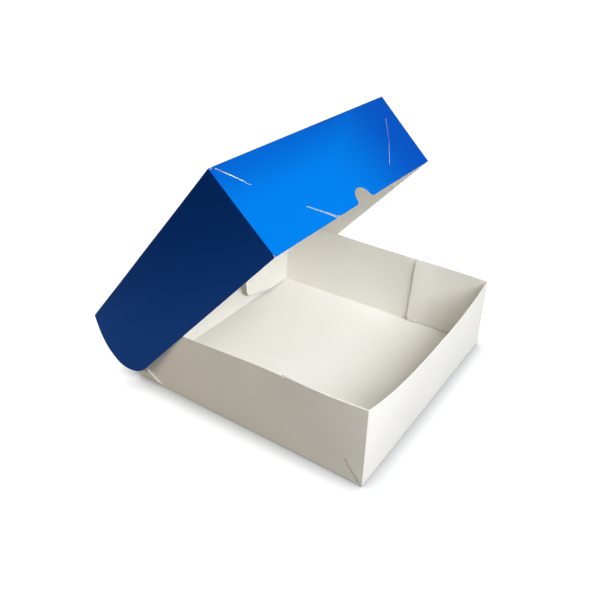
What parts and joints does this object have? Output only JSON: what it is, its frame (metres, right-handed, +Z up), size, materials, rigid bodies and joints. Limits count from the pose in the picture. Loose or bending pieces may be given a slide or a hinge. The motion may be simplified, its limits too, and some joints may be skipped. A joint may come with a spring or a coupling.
{
  "type": "churro box",
  "caption": "Shallow square card takeaway box with a full-depth hinged lid, blue outside the lid and white everywhere else, half open.",
  "frame": {"origin": "on the table under the middle of the tray floor", "axes": "+Z up; +Y towards the fold at the floor's rear edge; +X towards the tray's right wall, seen from its front wall"},
  "size_m": [0.2044, 0.2444, 0.1878],
  "materials": {
    "card_white": "matte",
    "card_lid": "satin"
  },
  "bodies": {
    "tray": {"tray": "card_white"},
    "back": {"back_wall": "card_lid"},
    "lid": {"lid": "card_lid"}
  },
  "joints": [
    {"name": "back_hinge", "type": "hinge", "parent": "tray", "child": "back", "pos_m": [0, 0.1, 0.0005], "axis": [-1, 0, 0], "range_deg": [-28.5, 43.5]},
    {"name": "lid_hinge", "type": "hinge", "parent": "back", "child": "lid", "pos_m": [0, 0.14458, 0.04301], "axis": [-1, 0, 0], "range_deg": [0, 90]}
  ]
}
